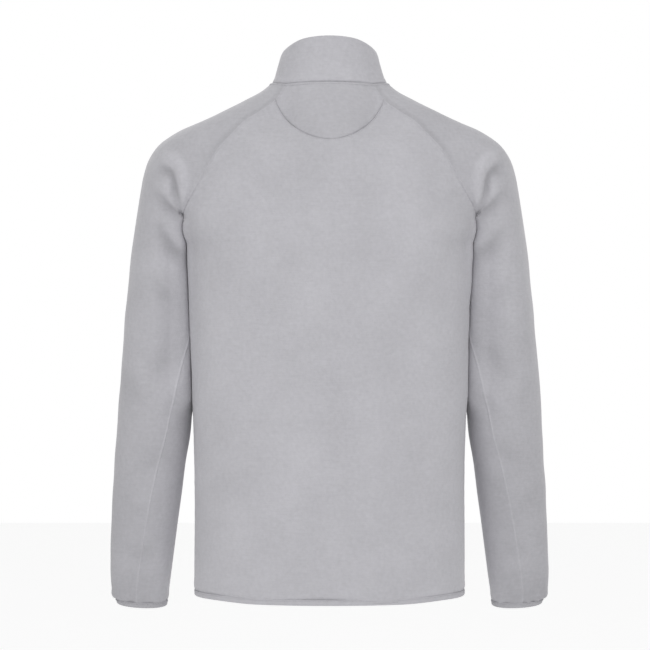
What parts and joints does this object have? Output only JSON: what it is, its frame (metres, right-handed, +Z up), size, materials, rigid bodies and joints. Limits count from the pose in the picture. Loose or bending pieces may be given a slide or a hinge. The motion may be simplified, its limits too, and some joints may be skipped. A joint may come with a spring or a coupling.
{
  "type": "fleece zip jacket",
  "caption": "Light grey fleece zip jacket with stand collar, raglan sleeves, half-moon back yoke and bound hem and cuffs, filled out as worn, hollow and open.",
  "frame": {"origin": "the centre of the neck base, where the wearer's neck and shoulders carry the jacket", "axes": "+X is the wearer's left, -Y the front, +Z up"},
  "size_m": [0.6058, 0.2683, 0.7796],
  "materials": {
    "fleece": "light grey short-nap polyester fleece, matt",
    "binding": "light grey elastic binding tape, fine ribs along it",
    "zip_tape": "grey woven zip tape",
    "zip_teeth": "grey moulded teeth",
    "zip_metal": "satin grey metal"
  },
  "bodies": {
    "jacket": {"back": "fleece", "yoke": "fleece", "front_left": "fleece", "front_right": "fleece", "sleeve_left": "fleece", "sleeve_right": "fleece", "collar": "fleece", "hem_binding": "binding", "cuff_binding_left": "binding", "cuff_binding_right": "binding", "zip_tape_left": "zip_tape", "zip_tape_right": "zip_tape", "zip_chain": "zip_teeth", "zip_stop_box": "zip_metal", "zip_slider": "zip_metal"},
    "pull_tab": {"pull_tab": "zip_metal"}
  },
  "joints": [
    {"name": "pull_tab_swing", "type": "hinge", "parent": "jacket", "child": "pull_tab", "pos_m": [0, -0.07084, 0.04012], "axis": [-1, 0, 0], "range_deg": [0, 150]}
  ]
}
